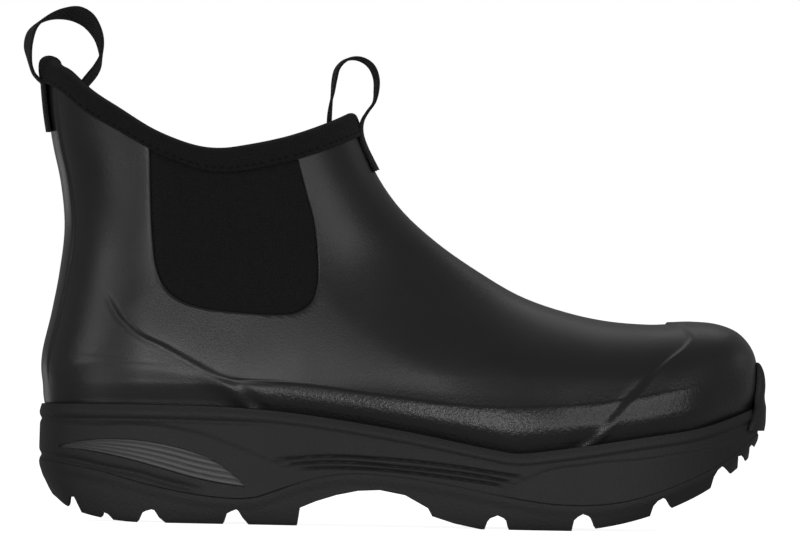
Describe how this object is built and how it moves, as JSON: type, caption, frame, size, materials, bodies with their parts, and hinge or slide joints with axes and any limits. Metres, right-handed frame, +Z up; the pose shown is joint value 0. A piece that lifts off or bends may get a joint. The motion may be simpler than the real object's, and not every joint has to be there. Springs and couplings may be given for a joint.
{
  "type": "rubber boot",
  "caption": "Ankle-high black rubber pull-on boot for the right foot, with elastic side gussets, bound collar, pull loops and a thick lugged sole.",
  "frame": {"origin": "on the floor, under the middle of the boot's box", "axes": "+X towards the toe, +Y towards the inner side of the foot, +Z up"},
  "size_m": [0.3127, 0.1094, 0.2143],
  "materials": {
    "boot_rubber": "satin moulded black rubber",
    "sole_rubber": "matte moulded black rubber",
    "insert_foam": "ribbed dark grey moulding",
    "stretch_fabric": "black elastic knit",
    "binding_fabric": "black woven edge tape",
    "webbing": "black woven webbing",
    "footbed_fabric": "dark grey textile"
  },
  "bodies": {
    "root": {"upper": "boot_rubber", "gusset_lateral": "stretch_fabric", "gusset_medial": "stretch_fabric", "collar_binding": "binding_fabric", "midsole": "sole_rubber", "outsole": "sole_rubber", "toe_bumper": "sole_rubber", "heel_insert_lateral": "insert_foam", "heel_insert_medial": "insert_foam", "insole": "footbed_fabric", "pull_loop_back": "webbing", "pull_loop_front": "webbing"}
  },
  "joints": []
}
